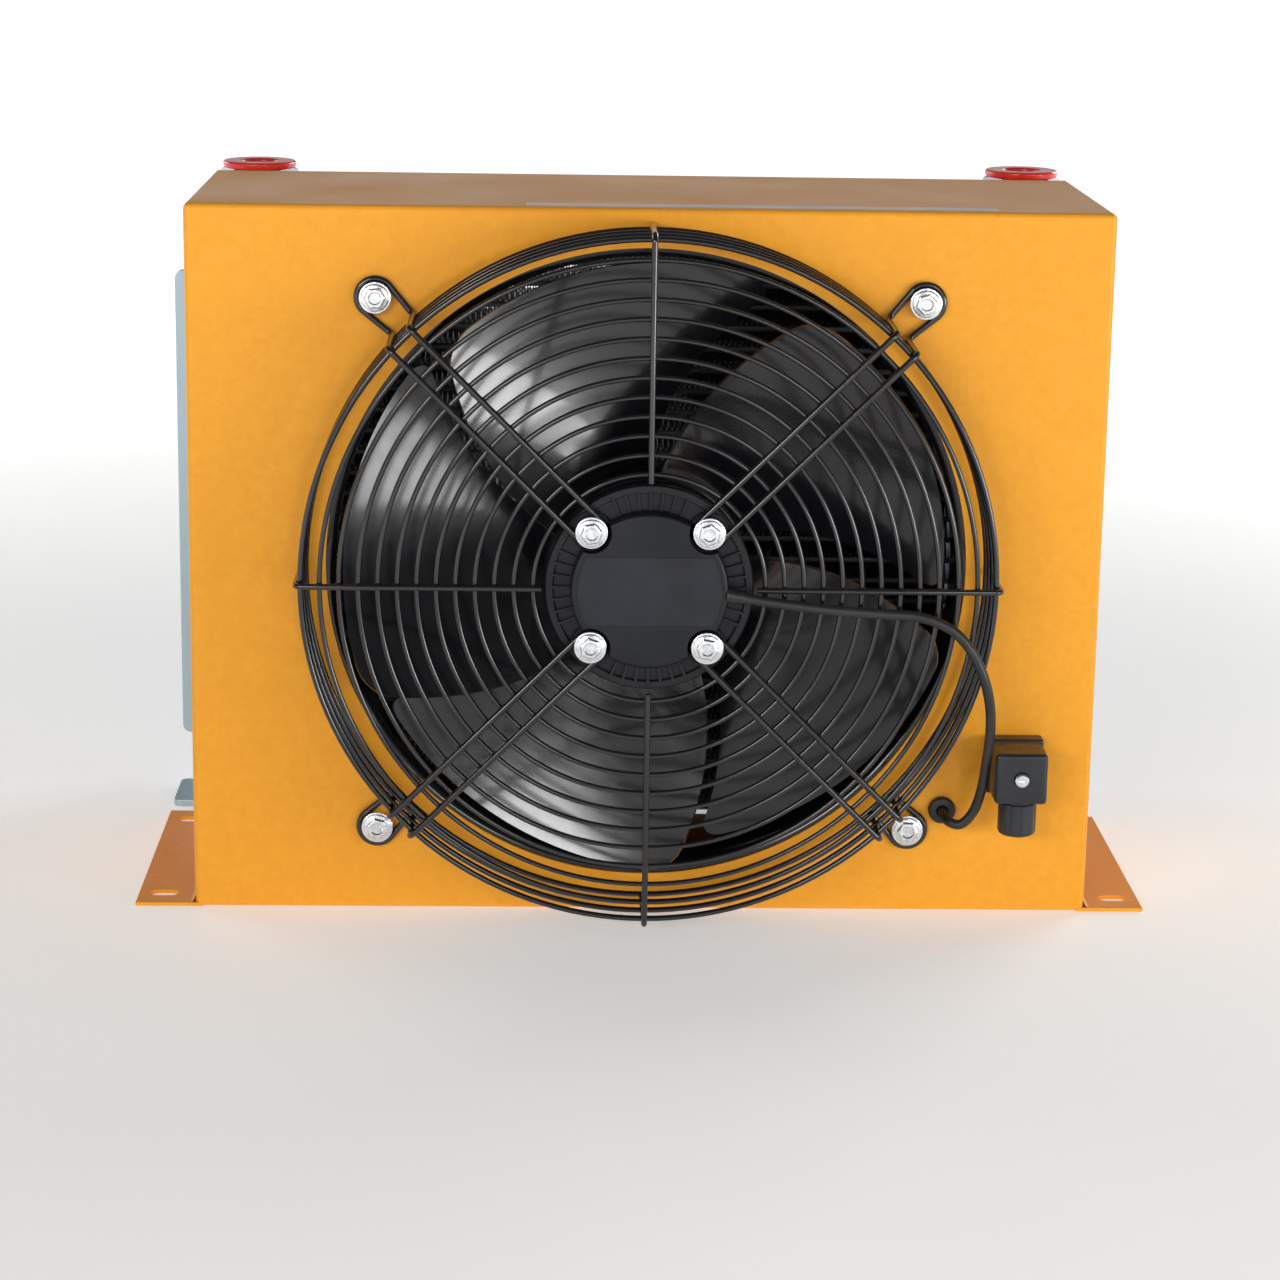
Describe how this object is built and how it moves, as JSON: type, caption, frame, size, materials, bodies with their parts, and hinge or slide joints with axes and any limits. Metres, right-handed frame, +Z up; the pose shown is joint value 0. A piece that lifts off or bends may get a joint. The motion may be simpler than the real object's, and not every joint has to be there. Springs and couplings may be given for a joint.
{
  "type": "hydraulic oil cooler",
  "caption": "Air-blast hydraulic oil cooler: plate-fin core with end tanks and ports, sheet shroud, guarded axial fan, feet and mounting angles.",
  "frame": {"origin": "middle of the footprint, on the plane the feet stand on", "axes": "+X to the right seen from the fan side, +Y from the fan towards the core, +Z up"},
  "size_m": [0.516, 0.304, 0.3574],
  "materials": {
    "shroud": "yellow-orange powder coat, satin",
    "core_alloy": "bare brazed and welded aluminium, satin",
    "bracket_alloy": "bare rolled aluminium, matt",
    "fin": "folded fins, dark in their depth",
    "red_plug": "red moulded plastic, glossy",
    "guard": "black powder coat, semi-gloss",
    "motor": "black painted casting",
    "blades": "black gloss paint",
    "winding": "laminations and varnished copper",
    "bearing": "ground steel",
    "zinc": "bright zinc plate",
    "connector": "black moulded plastic",
    "rubber": "black flexible sheath"
  },
  "bodies": {
    "frame": {"fan_shroud": "shroud", "inlet_ring": "guard", "core_frame": "core_alloy", "tank_left": "core_alloy", "tank_right": "core_alloy", "port_left": "core_alloy", "port_right": "core_alloy", "bracket_left": "bracket_alloy", "bracket_right": "bracket_alloy", "rear_foot_bar": "bracket_alloy", "fan_guard": "guard", "motor_flange": "motor", "stator": "winding", "bearing_front": "bearing", "bearing_rear": "bearing", "connector_base": "connector", "motor_lead": "rubber", "grommet": "rubber", "guard_bolt_top_left": "zinc", "hub_bolt_top_left": "zinc", "guard_bolt_top_right": "zinc", "hub_bolt_top_right": "zinc", "guard_bolt_bottom_left": "zinc", "hub_bolt_bottom_left": "zinc", "guard_bolt_bottom_right": "zinc", "hub_bolt_bottom_right": "zinc", "fin_row_01": "fin", "fin_row_02": "fin", "fin_row_03": "fin", "fin_row_04": "fin", "fin_row_05": "fin", "fin_row_06": "fin", "fin_row_07": "fin", "fin_row_08": "fin", "fin_row_09": "fin", "fin_row_10": "fin", "fin_row_11": "fin", "fin_row_12": "fin", "fin_row_13": "fin", "fin_row_14": "fin", "fin_row_15": "fin", "fin_row_16": "fin", "fin_row_17": "fin", "fin_row_18": "fin", "fin_row_19": "fin", "fin_row_20": "fin", "fin_row_21": "fin", "fin_row_22": "fin", "fin_row_23": "fin", "fin_row_24": "fin", "fin_row_25": "fin", "fin_row_26": "fin", "fin_row_27": "fin"},
    "fan": {"rotor_shell": "motor", "impeller": "blades", "motor_shaft": "bearing"},
    "port_cap_left": {"port_plug_left": "red_plug"},
    "port_cap_right": {"port_plug_right": "red_plug"},
    "supply_plug": {"connector_plug": "connector", "connector_screw": "zinc"}
  },
  "joints": [
    {"name": "fan_spin", "type": "hinge", "parent": "frame", "child": "fan", "pos_m": [0, -0.09765, 0.1775], "axis": [0, 1, 0], "continuous": true},
    {"name": "port_cap_left_lift", "type": "slide", "parent": "frame", "child": "port_cap_left", "axis": [0, 0, 1], "range_m": [0, 0.02]},
    {"name": "port_cap_right_lift", "type": "slide", "parent": "frame", "child": "port_cap_right", "axis": [0, 0, 1], "range_m": [0, 0.02]},
    {"name": "supply_plug_pull", "type": "slide", "parent": "frame", "child": "supply_plug", "axis": [0, -1, 0], "range_m": [0, 0.02]}
  ]
}
